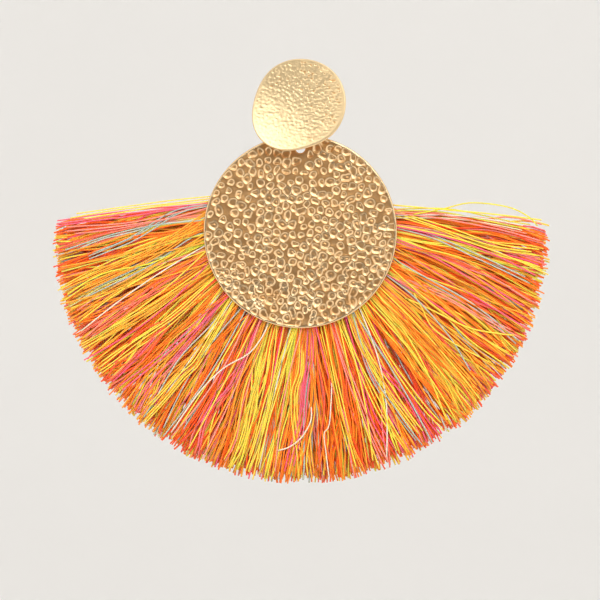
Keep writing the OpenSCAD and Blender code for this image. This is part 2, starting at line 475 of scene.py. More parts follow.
def quarter(edge, count):
    """Points of a quarter round, as how far in from the rim and down from the face."""
    return [
        (edge * (1 - math.sin(t)), edge * (1 - math.cos(t)))
        for t in (math.pi / 2 * (k + 1) / count for k in range(count))
    ]


def mesh_places(bm, layer):
    """The bmesh's places and step numbers as arrays."""
    bm.verts.ensure_lookup_table()
    return np.array([v.co for v in bm.verts]), np.array([v[layer] for v in bm.verts])


def plate(bm, places, name, material, polish):
    """Makes a plate whose vertices lie at these places, and stores at each a value from 0 to 1
    that makes its plating paler and smoother as it rises: part burnish, part painted light."""
    for v, place in zip(bm.verts, places):
        v.co = place
    bmesh.ops.recalc_face_normals(bm, faces=bm.faces)
    piece = finished(bm, name, material)
    attribute = piece.data.attributes.new("polish", "FLOAT", "POINT")
    attribute.data.foreach_set("value", np.asarray(polish, np.float32))
    return piece


# Cells across each plate's front, the seeds of their marks, and the edges that only the dressed
# disc has, in millimetres
DISC_CELLS, STUD_CELLS = 268, 210
DISC_SEED, STUD_SEED = 41, 17
FRONT_EDGE = 0.24
HOLE_EDGE = 0.08


class EARRING_OT_large_disc(Operator):
    """The large hammered disc, with its hole, in place of the plain one"""

    bl_idname = "earring.large_disc"
    bl_label = "Large disc"

    def execute(self, context):
        settings = context.scene.earring_plates
        inner = DISC_R - FRONT_EDGE
        hole_z = HOLE_Z - DISC_Z
        bm = bmesh.new()
        step = bm.verts.layers.int.new("step")
        round_grid(bm, DISC_CELLS)
        hole = Vector((0, 0, hole_z / inner))
        hole_wide = (HOLE_R + HOLE_EDGE) / inner
        bmesh.ops.delete(
            bm, geom=[v for v in bm.verts if (v.co - hole).length < hole_wide + 0.03 / inner],
            context="VERTS")
        hole_edges, rim_edges = [], []
        for e in open_edges(bm):
            by_hole = (e.verts[0].co - hole).length < 2 * hole_wide
            (hole_edges if by_hole else rim_edges).append(e)
        for v in {v for e in hole_edges for v in e.verts}:
            v.co = hole + (v.co - hole).normalized() * hole_wide
            v[step] = -1
        # The loops that go round the rim and through the hole, as radius and Y
        rim = [(DISC_R - inset, DISC_FRONT + 0.7 * down) for inset, down in quarter(FRONT_EDGE, 4)]
        rim += [(DISC_R - inset, DISC_BACK - down) for inset, down in quarter(DISC_EDGE, 4)[::-1]]
        rim += [(DISC_R - inset, DISC_BACK) for inset in (DISC_EDGE, 0.7, 1.6)]
        bore = [
            (HOLE_R + 0.3 * HOLE_EDGE, DISC_FRONT + 0.3 * HOLE_EDGE),
            (HOLE_R, DISC_FRONT + HOLE_EDGE), (HOLE_R, DISC_BACK - HOLE_EDGE),
            (HOLE_R + 0.3 * HOLE_EDGE, DISC_BACK - 0.3 * HOLE_EDGE),
            (HOLE_R + HOLE_EDGE, DISC_BACK)]
        rim_steps, bore_steps = range(1, 1 + len(rim)), range(-2, -2 - len(bore), -1)
        last = stepped(bm, rim_edges, step, rim_steps) + stepped(bm, hole_edges, step, bore_steps)
        bmesh.ops.triangle_fill(bm, edges=last, use_beauty=True, normal=(0, 1, 0))
        places, steps = mesh_places(bm, step)
        x, z = places[:, 0] * inner, places[:, 2] * inner
        y = np.full(len(x), DISC_FRONT)
        front = np.flatnonzero(steps == 0)
        fx, fz = x[front], z[front]
        rim_gap = DISC_R - np.hypot(fx, fz)
        for numbers, loops, middle in ((rim_steps, rim, 0), (bore_steps, bore, hole_z)):
            way = np.arctan2(z - middle, x)
            for number, (radius, depth) in zip(numbers, loops):
                on = steps == number
                x[on], z[on] = radius * np.cos(way[on]), middle + radius * np.sin(way[on])
                y[on] = depth
        rng = np.random.RandomState(DISC_SEED)
        centres = scattered(rng, settings.marks, DISC_R - 0.75)
        widths = rng.uniform(0.74, 1.2, settings.marks) * settings.mark_width / MM
        # Below the middle, smaller marks lie over these
        lower = centres[centres[:, 1] < -2][::3]
        more = lower + rng.uniform(-1.0, 1.0, lower.shape)
        more = more[np.hypot(more[:, 0], more[:, 1]) < DISC_R - 0.9]
        centres = np.concatenate([centres, more])
        widths = np.concatenate([widths, rng.uniform(0.9, 1.5, len(more))])
        clear = np.hypot(centres[:, 0], centres[:, 1] - hole_z) > HOLE_R + 0.75
        depth = settings.mark_depth / MM
        relief, burnish_and_painted_light = punched(rng, *warped(fx, fz, 0.13, 0.9), centres[clear], widths[clear],
                               depth, 0.1 * depth, 0.56)
        # The plate is wavy, most so at its foot
        low_part = 1 - fade(fz, -15.0, -5.0)
        swell = field(fx, fz, 2.1, 4.0, 1.7)
        relief += 0.12 * swell * (0.25 + 0.75 * low_part) + 0.02 * field(fx, fz, 1.1, 9.0)
        flat_rim = fade(rim_gap, 0.22, 0.6)
        flat_hole = fade(np.hypot(fx, fz - hole_z), HOLE_R + 0.1, HOLE_R + 0.6)
        y[front] -= relief * flat_rim * flat_hole + 0.03 * bell(rim_gap, 0.36, 0.16)
        # Painted light in the plating: the walls of the marks are painted paler as painted
        # highlight, and the lines round them and the flats browner as painted shade. The swells at
        # the foot get paler painted highlight streaks, and the rim a paler painted highlight band.
        # The same value makes these places smoother.
        polish = np.full(len(x), 0.7)
        polish[front] = np.clip(0.2 + 0.45 * burnish_and_painted_light + 0.3 * low_part * swell, 0, 1)
        polish[front] = np.maximum(polish[front], 0.9 * (1 - flat_rim))
        plating = plated_brass("gold_plated_brass_hammered", settings.gold, settings.tarnish_and_painted_shade,
                               0.24, 0.36, 0.16)
        piece = plate(bm, np.stack([x + DISC_X, y, z + DISC_Z], 1), "hammered_disc", plating,
                      polish)
        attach(piece, "drop")
        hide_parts("large_disc")
        return {"FINISHED"}


class EARRING_OT_stud(Operator):
    """The small hammered disc with its post and eye, in place of the plain one"""

    bl_idname = "earring.stud"
    bl_label = "Stud"

    def execute(self, context):
        settings = context.scene.earring_plates
        bm = bmesh.new()
        step = bm.verts.layers.int.new("step")
        round_grid(bm, STUD_CELLS)
        # The loops that go round the rim, as how far in and how far from the nearer face, and
        # then those on the back, as shares of the radius
        rim = [(inset, down, True) for inset, down in quarter(STUD_EDGE, 5)]
        rim += [(inset, down, False) for inset, down, _ in rim[::-1]]
        back = (1.0, 0.93, 0.84, 0.72, 0.6, 0.48, 0.36, 0.24, 0.12)
        edges = stepped(bm, open_edges(bm), step, range(1, 1 + len(rim) + len(back)))
        middle = bmesh.ops.holes_fill(bm, edges=edges, sides=0)["faces"]
        for v in bmesh.ops.poke(bm, faces=middle)["verts"]:
            v[step] = -1
            v.co = (0, 0, 0)
        places, steps = mesh_places(bm, step)
        way, share = np.arctan2(places[:, 2], places[:, 0]), np.hypot(places[:, 0], places[:, 2])
        broad = 0.45 + fade(np.cos(way + math.radians(38)), 0.1, 1)
        inner = stud_rim(way) - STUD_EDGE * broad
        radius = share * inner
        for number, (inset, _, at_front) in enumerate(rim, 1):
            on = steps == number
            radius[on] = stud_rim(way[on]) - inset * (broad[on] if at_front else 1)
        for number, part in enumerate(back, 1 + len(rim)):
            on = steps == number
            radius[on] = part * inner[on]
        x, z = STUD_X + radius * np.cos(way), STUD_Z + radius * np.sin(way)
        y = -stud_dish(x, z)
        for number, (_, down, at_front) in enumerate(rim, 1):
            y[steps == number] += down - STUD_T if at_front else -down
        rng = np.random.RandomState(STUD_SEED)
        centres = scattered(rng, settings.pits, STUD_R * 1.06) + (STUD_X, STUD_Z)
        widths = rng.choice([0.35, 0.45, 0.6, 0.8], len(centres))
        widths = widths * rng.uniform(0.8, 1.2, len(centres))
        front = np.flatnonzero(steps == 0)
        fx, fz = x[front], z[front]
        # Pits, which are deepest at the upper right, and ridges that run sideways on the right
        lying = fade(fx - 0.6 * fz, -1.0, 6.0)
        relief, _ = punched(rng, *warped(fx, fz, 0.12, 0.6), centres, widths, 0.064, 0.01, 0.8)
        relief *= 0.35 + 0.65 * fade(fx + fz, -9.0, 2.0)
        relief += 0.042 * lying * field(fx, fz, 0.4, 2.0, 2.4)
        relief += 0.018 * (1 - 0.5 * lying) * field(fx, fz, 0.5, 6.0, 1.1)
        relief += 0.05 * fade(fx + 2 * fz, -4.0, 4.0) * field(fx, fz, 0.4, 15.0, 1.4)
        relief += 0.03 * field(fx, fz, 2.6, 8.0, 1.3)
        edge_gap = inner[front] - radius[front]
        relief = relief * fade(edge_gap, 0.1, 0.5) + 0.03 * bell(edge_gap, 0.06, 0.08)
        y[front] += -STUD_T - relief
        # Painted shade: the deeper a pit, the browner its colour is painted, and the rougher it is
        polish = np.full(len(x), 0.75)
        polish[front] = 0.85 - 0.55 * fade(-relief, 0.03, 0.075)
        plating = plated_brass("gold_plated_brass_peened", settings.stud_gold, settings.tarnish_and_painted_shade,
                               0.4, 0.48, 0.11)
        piece = plate(bm, np.stack([x, y, z], 1), "stud_plate", plating, polish)
        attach(piece, "stud")
        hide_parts("stud")
        wire = plated_wire(settings.gold)
        for part in (self.post(wire), self.eye(wire)):
            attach(part, "stud")
        return {"FINISHED"}

    def post(self, wire):
        """The ear post: turned wire with a solder fillet, two catch grooves and a blunt point."""
        profile = [
            (0.0, -0.5), (1.0, -0.45), (0.98, -0.02), (0.72, 0.12), (0.5, 0.34), (POST_R, 0.6),
            (POST_R, 7.5), (0.34, 7.62), (0.34, 7.86), (POST_R, 7.98), (POST_R, 8.4),
            (0.34, 8.52), (0.34, 8.76), (POST_R, 8.88), (POST_R, 9.9), (0.36, 10.12),
            (0.27, 10.34), (0.15, 10.47), (0.0, POST_END)]
        bm = turned([(r, y, 0) for r, y in profile], (0, 1, 0), 32, 1e-4)
        return finished(bm, "ear_post", wire)

    def eye(self, wire):
        """The eye: one bow of wire whose two feet are soldered to the stud's back."""
        bm = bmesh.new()
        root = -float(stud_dish(EYE_R, EYE_Z)) - 0.35
        turn = Matrix.Translation((EYE_R, root, EYE_Z)) @ Matrix.Rotation(math.pi / 2, 4, "X")
        bmesh.ops.create_circle(bm, segments=24, radius=WIRE_R + 0.22, matrix=turn)
        edges = list(bm.edges)
        # Loops up from the root, as how far along and how wide: the solder, and then the wire
        foot = [(0.45, WIRE_R + 0.2), (0.62, WIRE_R + 0.09), (0.85, WIRE_R),
                (EYE_BOW_Y - root, WIRE_R)]
        for along, wide in foot:
            verts, edges = extruded(bm, edges)
            for v in verts:
                away = Vector((v.co.x - EYE_R, 0, v.co.z - EYE_Z)).normalized() * wide
                v.co = (EYE_R + away.x, root + along, EYE_Z + away.z)
        bmesh.ops.spin(
            bm, geom=edges, cent=(0, EYE_BOW_Y, EYE_Z), axis=(0, 0, 1), dvec=(0, 0, 0),
            angle=math.pi / 2, steps=14, use_merge=False, use_duplicate=False)
        half = list(bm.verts) + list(bm.edges) + list(bm.faces)
        bmesh.ops.mirror(bm, geom=half, merge_dist=1e-3, axis="X")
        bmesh.ops.remove_doubles(bm, verts=bm.verts, dist=1e-4)
        close(bm)
        return finished(bm, "stud_eye", wire)


class EARRING_OT_ring(Operator):
    """The wire ring that the large disc hangs from, with its butted joint"""

    bl_idname = "earring.ring"
    bl_label = "Jump ring"

    def execute(self, context):
        bm = bmesh.new()
        # The gap at the joint, as an angle
        butt = BUTT_GAP / RING_R
        turn = (Matrix.Translation((0, RING_Y, RING_Z)) @ Matrix.Rotation(BUTT_AT, 4, "X")
                @ Matrix.Translation((0, 0, RING_R)) @ Matrix.Rotation(math.pi / 2, 4, "X"))
        bmesh.ops.create_circle(bm, segments=28, radius=WIRE_R, matrix=turn)
        bmesh.ops.spin(
            bm, geom=list(bm.edges), cent=(0, RING_Y, RING_Z), axis=(1, 0, 0), dvec=(0, 0, 0),
            angle=math.tau - butt, steps=96, use_merge=False, use_duplicate=False)
        close(bm)
        piece = finished(bm, "wire_ring", plated_wire(context.scene.earring_plates.gold))
        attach(piece, "ring")
        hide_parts("jump_ring")
        return {"FINISHED"}


def heading(angle):
    """The way in X and Z that an angle from straight down points, right being positive."""
    angle = np.radians(angle)
    return np.stack([np.sin(angle), -np.cos(angle)], -1)


def lie_of(rim_angle):
    """Overall direction of the threads that leave the disc's rim at this angle, both from
    straight down. They lie steeper than the rim's own spokes, most so below the disc and on
    its lower left."""
    return 0.7735 * (rim_angle + 3) - 8 * bell(rim_angle, 0, 45) - 5 * bell(rim_angle, -65, 25)


def to_hem(start, way, short):
    """Where a line from start meets the circle that the ends reach, less what it ends short."""
    off = start - np.array([HEM_X, HEM_Z])
    along = (off * way).sum(-1)
    length = -along + np.sqrt(along ** 2 - (off ** 2).sum(-1) + HEM_R ** 2) - short
    return start + way * length[..., None]


def thread_lines(rim_angle, turn, short, hidden=5, shown=12):
    """Lines of threads in X and Z, from the head, behind the disc, and out to the hem. Also
    gives how far along each point lies, 0 at the disc's rim and 1 at the end, and each thread's
    way sideways. No thread rises past STEEPEST: one that would is folded back under it."""
    out = np.array([DISC_X, DISC_Z]) + (DISC_R - 0.3) * heading(rim_angle)
    whole = lie_of(rim_angle) + turn
    past = np.clip(np.abs(whole) - STEEPEST, 0, None) * np.sign(whole)
    whole = whole - 2 * past
    end = to_hem(out, heading(whole), short)
    length = np.linalg.norm(end - out, axis=1)
    # Threads arch up on their way out, more so on the right
    side = np.sign(whole)
    bow = np.radians(np.where(whole > 0, 6.0, 1.5) * np.abs(whole / 84) ** 1.5)
    across = np.stack([np.cos(np.radians(whole)), np.sin(np.radians(whole))], -1)
    knee = (out + end) / 2 + (side * length / 2 * np.tan(bow))[:, None] * across
    fan = np.array([FAN_X, FAN_Z])
    root_way = unit(out - fan)
    root = fan + root_way * (HEAD_R + 0.9)
    leave = unit(knee - out)
    reach = np.linalg.norm(out - root, axis=1)[:, None]
    t = np.linspace(0, 1, hidden + 1)[:-1, None, None]
    behind = ((2 * t ** 3 - 3 * t ** 2 + 1) * root + (t ** 3 - 2 * t ** 2 + t) * reach * root_way
              + (-2 * t ** 3 + 3 * t ** 2) * out + (t ** 3 - t ** 2) * reach * leave)
    s = np.linspace(0, 1, shown + 1)[:, None, None]
    seen = (1 - s) ** 2 * out + 2 * s * (1 - s) * knee + s ** 2 * end
    lines = np.concatenate([behind, seen]).transpose(1, 0, 2)
    place = np.concatenate([np.linspace(-0.45, 0, hidden + 1)[:-1], np.linspace(0, 1, shown + 1)])
    return lines, place, across


def sweep(name, lines, radius, dye):
    """Sweeps a round thread along each line of points with geometry nodes, and lays the dye
    and the twist out as UV maps. Radius is in metres, and dye is a place on the dye scale.
    All threads ride with the large disc."""
    count, per = lines.shape[:2]
    mesh = bpy.data.meshes.new(name)
    index = np.arange(count * per).reshape(count, per)
    pairs = np.stack([index[:, :-1], index[:, 1:]], -1).reshape(-1, 2)
    mesh.from_pydata((lines.reshape(-1, 3) * MM).tolist(), pairs.tolist(), [])
    lengths = np.linalg.norm(np.diff(lines, axis=1), axis=2)
    run = np.concatenate([np.zeros((count, 1)), np.cumsum(lengths, 1)], 1)
    guides = {"thread_radius": radius, "dye": dye, "share": 0.02 + 0.96 * run / run[:, -1:],
              "turns": run / TWIST_MM}
    for key, values in guides.items():
        values = np.broadcast_to(values, (count, per)).astype(np.float32)
        mesh.attributes.new(key, "FLOAT", "POINT").data.foreach_set("value", values.ravel())
    piece = bpy.data.objects.new(name, mesh)
    bpy.context.scene.collection.objects.link(piece)
    modifier = piece.modifiers.new("sweep", "NODES")
    modifier.node_group = thread_nodes(embroidery_thread())
    bpy.context.view_layer.objects.active = piece
    bpy.ops.object.modifier_apply(modifier=modifier.name)
    bm = bmesh.new()
    bm.from_mesh(piece.data)
    bmesh.ops.remove_doubles(bm, verts=bm.verts, dist=1e-8)
    caps = close(bm)
    for layer in bm.loops.layers.uv.values():
        for face in caps:
            for loop in face.loops:
                other = loop.link_loop_radial_next
                loop[layer].uv = other.link_loop_next[layer].uv
    bm.to_mesh(piece.data)
    bm.free()
    piece.data.shade_smooth()
    for key in guides:
        if key in piece.data.attributes:
            piece.data.attributes.remove(piece.data.attributes[key])
    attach(piece, "drop")
    return piece


def thread_nodes(material):
    """Geometry nodes: lines to curves, a round profile along them, and the two UV maps."""
    if "thread_sweep" in bpy.data.node_groups:
        return bpy.data.node_groups["thread_sweep"]
    tree = bpy.data.node_groups.new("thread_sweep", "GeometryNodeTree")
    tree.interface.new_socket("Lines", in_out="INPUT", socket_type="NodeSocketGeometry")
    tree.interface.new_socket("Threads", in_out="OUTPUT", socket_type="NodeSocketGeometry")
    start, end = add_node(tree, "NodeGroupInput"), add_node(tree, "NodeGroupOutput")
    named = {
        key: add_node(tree, "GeometryNodeInputNamedAttribute", {"data_type": "FLOAT", "Name": key})
        for key in ("thread_radius", "dye", "share", "turns", "around")}
    curves = add_node(tree, "GeometryNodeMeshToCurve", links={"Mesh": start})
    profile = add_node(tree, "GeometryNodeCurveArc",
                       {"Resolution": THREAD_SIDES + 1, "Radius": 1.0, "Sweep Angle": math.tau})
    around = add_node(tree, "GeometryNodeSplineParameter")
    marked = add_node(tree, "GeometryNodeStoreNamedAttribute",
                      {"data_type": "FLOAT", "domain": "POINT", "Name": "around"},
                      {"Geometry": profile, "Value": around.outputs["Factor"]})
    last = add_node(tree, "GeometryNodeCurveToMesh", {"Fill Caps": False},
                    {"Curve": curves, "Profile Curve": marked, "Scale": named["thread_radius"]})
    thin = add_node(tree, "ShaderNodeMath", {"operation": "MULTIPLY", 1: 0.004},
                    {0: named["around"]})
    dyed = add_node(tree, "ShaderNodeMath", {"operation": "ADD"}, {0: named["dye"], 1: thin})
    for key, along, across in (("OFBake", named["share"], dyed),
                               ("twist", named["turns"], named["around"])):
        vector = add_node(tree, "ShaderNodeCombineXYZ", links={"X": along, "Y": across})
        last = add_node(tree, "GeometryNodeStoreNamedAttribute",
                        {"data_type": "FLOAT2", "domain": "CORNER", "Name": key},
                        {"Geometry": last, "Value": vector})
    dressed = add_node(tree, "GeometryNodeSetMaterial", {"Material": material},
                       {"Geometry": last})
    add_node(tree, end, links={0: dressed})
    return tree


class EARRING_OT_fringe(Operator):
    """The threads of the fringe, in bundles of one colour, in place of the plain fan"""

    bl_idname = "earring.fringe"
    bl_label = "Fringe"

    def execute(self, context):
        settings = context.scene.earring_threads
        rng = np.random.RandomState(settings.seed)
        count = settings.bundles
        rim_angle, layer, turn, short, dye, many = self.bundles(rng, count)
        which = np.repeat(np.arange(count), many)
        total = len(which)

        def shared(values):
            """Gives each thread its bundle's value, as a column."""
            return values[which][:, None]

        spread = rng.normal(0, 1, (total, 2))
        wide = np.sqrt(shared(many)) * shared(rng.uniform(0.8, 1.3, count))
        lines, place, across = thread_lines(
            rim_angle[which], turn[which] + rng.normal(0, 1.4, total),
            np.clip(short[which] + rng.normal(0, 0.4, total), 0, 3.2))
        # Threads of a bundle lie side by side, closest at the head
        open_out = fade(place, 0.0, 1.0)
        tucked = fade(place, -0.45, 0.1)
        offset = spread[:, :1] * wide * (0.07 + 0.08 * tucked + 0.13 * open_out)
        # Each bundle wanders as a whole, and each of its threads a little by itself
        k = shared(rng.uniform(0.5, 1.3, count))
        phase = shared(rng.uniform(0, math.tau, count))
        size = shared(rng.uniform(0.2, 1.2, count))
        offset = offset + size * np.sin(math.tau * k * place + phase) * fade(place, 0, 0.6)
        k = rng.uniform(1.0, 2.4, total)[:, None]
        phase = rng.uniform(0, math.tau, total)[:, None]
        offset = offset + 0.24 * np.sin(math.tau * k * place + phase) * fade(place, 0, 0.4)
        lines = lines + offset[:, :, None] * across[:, None, :]
        # Depth: the fan is thickest at the rim of the disc, and has most threads front and back
        thick = np.interp(place, [-0.45, -0.3, 0.0, 0.5, 1.0], [3.9, 4.0, 4.0, 3.7, 3.4])
        y = HEAD_MIDDLE + shared(0.4 * (layer - 0.5) - 0.3 * np.cos(math.pi * layer)) * thick
        y = y + spread[:, 1:] * 0.09 * (0.5 + open_out)
        y = y + shared(rng.normal(0, 0.2, count)) * open_out
        y = np.clip(y, HEAD_FRONT + 0.16, HEAD_BACK + 0.3)
        # Most threads have their bundle's dye, which drifts along them
        drift = rng.normal(0, 0.018, total)[:, None]
        drift = drift + shared(rng.normal(0, 0.055, count)) * open_out
        mixed = rng.random_sample(total) < 0.32
        single = np.where(mixed, random_dyes(rng, total), dye[which])
        dyes = np.clip(single[:, None] + drift, 0.02, 0.97)
        points = np.stack([lines[:, :, 0], y, lines[:, :, 1]], -1)
        radius = settings.thickness / 2 * rng.uniform(0.86, 1.1, total)[:, None]
        third = np.digitize(layer[which], [1 / 3, 2 / 3])
        for i, name in enumerate(("threads_front", "threads_middle", "threads_back")):
            on = third == i
            piece = sweep(name, points[on], radius[on], dyes[on])
            if i == 0:
                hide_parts("fringe")
        return {"FINISHED"}

    def bundles(self, rng, count):
        """For each bundle: where it leaves the rim, its layer from 0, front, to 1, back, how it
        turns from the overall lie, how short it ends, its dye and its number of threads."""
        order = (np.arange(count) + rng.uniform(-0.6, 0.6, count)) / count
        rng.shuffle(order)
        rim_angle = FIRST_ANGLE + ANGLE_SPAN * np.clip(order, 0, 1)
        layer = (np.arange(count) + 0.5) / count
        turn = rng.normal(0, 4.6, count)
        short = rng.uniform(0.3, 2.0, count)
        dye = random_dyes(rng, count)
        light = (layer < 0.2) & (rng.random_sample(count) < 0.25)
        dye[light] = rng.choice([dye_at("lemon"), dye_at("golden")], light.sum())
        deep = (np.abs(layer - 0.5) < 0.22) & (rng.random_sample(count) < 0.5)
        dye[deep] = rng.choice([dye_at("orange"), dye_at("flame")], deep.sum(), p=[0.6, 0.4])
        many = rng.choice([1, 2, 3, 4, 5, 6], count, p=[0.12, 0.2, 0.24, 0.2, 0.14, 0.1])
        pale = dye < dye_at("lime")
        many[pale] = rng.choice([1, 1, 2], pale.sum())
        return rim_angle, layer, turn, short + 0.6 * deep, dye, many


# Bundles that lie on top: dye, number of threads, and places in X and Z, in millimetres
ACCENTS = (
    ("pink", 4, ((1.7, -40.5), (1.6, -49.0), (0.9, -53.5), (0.1, -60.0), (-1.3, -64.5),
                 (-2.4, -69.0))),
    ("lemon", 6, ((-0.6, -41.5), (-4.0, -51.3), (-5.5, -56.4), (-7.6, -64.0), (-9.3, -69.0))),
    ("lemon", 3, ((0.2, -41.5), (0.1, -50.4), (-1.0, -54.1), (-1.1, -59.5), (-0.1, -65.5),
                  (0.3, -70.0))),
    ("lemon", 5, ((-11.6, -36.6), (-18.5, -48.4), (-21.4, -51.3), (-25.6, -56.2), (-28.8, -59.6))),
    ("lemon", 4, ((-14.6, -33.6), (-24.0, -41.6), (-31.5, -46.8), (-36.5, -50.4))),
    ("pink", 2, ((-12.4, -36.0), (-20.6, -44.0), (-27.0, -49.6), (-33.6, -54.6))),
    ("grey_blue", 2, ((-16.2, -25.3), (-19.6, -26.2), (-26.4, -30.6), (-31.2, -33.2),
                      (-38.8, -36.9))),
    ("golden", 6, ((-16.0, -22.0), (-22.0, -26.2), (-29.0, -30.4), (-36.6, -33.9),
                   (-42.2, -36.4))),
    ("grey_blue", 3, ((-15.8, -20.4), (-22.4, -21.9), (-31.0, -26.9), (-40.8, -30.9))),
    ("blush", 3, ((-15.6, -20.6), (-24.0, -22.9), (-34.0, -24.6), (-43.6, -25.4))),
    ("pink", 3, ((-15.8, -20.4), (-22.5, -21.1), (-32.6, -22.4), (-44.0, -23.9))),
    ("lemon", 3, ((-15.4, -19.4), (-25.4, -20.5), (-33.4, -21.6), (-41.7, -23.0))),
    ("coral", 5, ((-16.2, -29.2), (-24.0, -33.6), (-32.4, -39.5), (-38.6, -44.0))),
    ("lemon", 4, ((-15.4, -31.2), (-25.4, -38.4), (-34.2, -43.4), (-39.4, -46.4))),
    ("grey_blue", 2, ((16.6, -30.4), (24.0, -34.6), (33.4, -40.4), (39.4, -45.4))),
    ("blush", 3, ((16.2, -21.6), (26.0, -22.6), (35.0, -24.2), (43.6, -26.4))),
    ("pink", 2, ((16.4, -26.6), (24.4, -29.9), (32.4, -34.4), (40.4, -39.2))),
    ("lemon", 3, ((16.5, -21.8), (25.0, -24.6), (34.7, -28.0), (43.2, -29.2))),
    ("lime", 2, ((15.6, -21.6), (21.0, -21.5), (26.4, -21.8), (33.0, -22.9), (41.6, -24.6))),
    ("white", 2, ((17.2, -22.6), (26.7, -22.7), (34.7, -23.7), (42.7, -25.2))),
    ("blush", 3, ((18.0, -34.0), (26.0, -37.0), (34.0, -41.6), (40.0, -44.8))),
    ("grey_blue", 2, ((16.5, -24.4), (24.4, -26.4), (33.0, -30.4), (41.8, -34.4))),
    ("golden", 5, ((13.6, -34.6), (21.0, -41.4), (27.6, -49.0), (32.6, -54.6))),
    ("orange", 5, ((11.8, -37.4), (17.5, -46.5), (23.5, -53.5), (28.6, -58.8))),
    ("golden", 3, ((14.6, -33.6), (22.5, -40.0), (31.0, -47.0), (37.0, -51.2))),
    ("orange", 5, ((15.6, -31.2), (24.0, -36.4), (32.0, -43.4), (38.4, -48.4))),
    ("lemon", 4, ((8.6, -39.2), (11.0, -45.8), (16.6, -55.0), (22.4, -63.0))),
    ("pink", 2, ((7.6, -40.2), (10.6, -50.0), (13.0, -58.6), (17.6, -66.4))),
    ("grey_blue", 2, ((9.4, -40.0), (12.6, -50.8), (17.4, -58.2), (22.0, -64.2))),
    ("lemon", 3, ((4.0, -41.4), (6.2, -52.0), (8.4, -61.4), (10.4, -69.4))),
    ("blush", 3, ((5.6, -41.0), (8.8, -51.6), (12.2, -60.2), (15.4, -67.4))),
    ("lemon", 3, ((6.8, -40.6), (11.4, -51.4), (15.6, -59.6), (19.4, -65.6))),
    ("lemon", 2, ((10.6, -38.2), (16.0, -48.4), (21.4, -56.0), (26.2, -61.2))),
)

# Single threads that stray across the front: dye, and places in X and Z, in millimetres
STRAYS = (
    ("lime", ((20.5, -22.3), (25.8, -21.3), (30.9, -20.2), (37.4, -20.9), (41.2, -22.6),
              (43.0, -24.4))),
    ("lemon", ((16.8, -20.6), (26.9, -21.5), (35.4, -22.3), (43.7, -23.3))),
    ("white", ((-5.8, -42.0), (-6.8, -44.3), (-9.3, -47.5), (-13.8, -50.1), (-18.2, -54.4),
               (-23.4, -61.8))),
    ("white", ((2.0, -57.2), (1.9, -59.7), (0.3, -62.6), (-1.9, -64.4), (-4.0, -65.1))),
    ("white", ((5.7, -52.8), (5.6, -55.9), (5.2, -60.6), (4.3, -62.0), (4.7, -65.8),
               (5.2, -70.0))),
    ("golden", ((3.6, -44.0), (4.7, -48.6), (6.5, -55.3), (8.5, -61.8), (11.7, -68.9))),
    ("lemon", ((20.6, -36.6), (22.2, -39.6), (23.8, -42.6), (27.6, -45.5), (34.5, -49.2))),
    ("lemon", ((19.0, -37.4), (23.8, -39.6), (30.5, -42.8), (36.1, -43.9), (38.8, -44.2))),
    ("grey_blue", ((15.6, -33.3), (21.0, -37.6), (27.0, -44.4), (30.8, -50.6))),
    ("golden", ((-15.9, -32.6), (-21.0, -35.2), (-28.6, -40.6), (-36.4, -45.2))),
)

# The head: its folded threads, and one's way from the front over to the back, as how far from
# the fan's middle and Y, in millimetres
HEAD_THREADS = 210
HEAD_FOLD = ((11.5, 3.75), (9.4, 3.62), (7.4, 3.6), (6.45, 3.95), (6.0, 4.8), (5.9, 5.75),
             (6.0, 6.7), (6.45, 7.5), (7.4, 7.88), (8.6, 7.84), (9.6, 7.86), (11.0, 7.72),
             (13.0, 7.5))

# Threads laid singly over the fringe: points on each line, and how many lie loose at random
STRAY_POINTS = 22
LOOSE = 64

# Dyes of the loose threads, and the share of each
LOOSE_DYES = {"grey_blue": 0.08, "white": 0.04, "lemon": 0.34, "golden": 0.21, "orange": 0.12,
              "blush": 0.13, "pink": 0.08}


def through(places, count):
    """A smooth line of count points through a few places, evenly spaced."""
    places = np.array(places, float)
    ends = np.concatenate([[2 * places[0] - places[1]], places, [2 * places[-1] - places[-2]]])
    fine = []
    for a, b, c, d in zip(ends, ends[1:], ends[2:], ends[3:]):
        t = np.linspace(0, 1, 24, endpoint=False)[:, None]
        fine.append(0.5 * (2 * b + (c - a) * t + (2 * a - 5 * b + 4 * c - d) * t ** 2
                           + (3 * b - a - 3 * c + d) * t ** 3))
    fine = np.concatenate(fine + [places[-1:]])
    run = np.concatenate([[0], np.cumsum(np.linalg.norm(np.diff(fine, axis=0), axis=1))])
    even = np.linspace(0, run[-1], count)
    return np.stack([np.interp(even, run, fine[:, i]) for i in range(fine.shape[1])], -1)


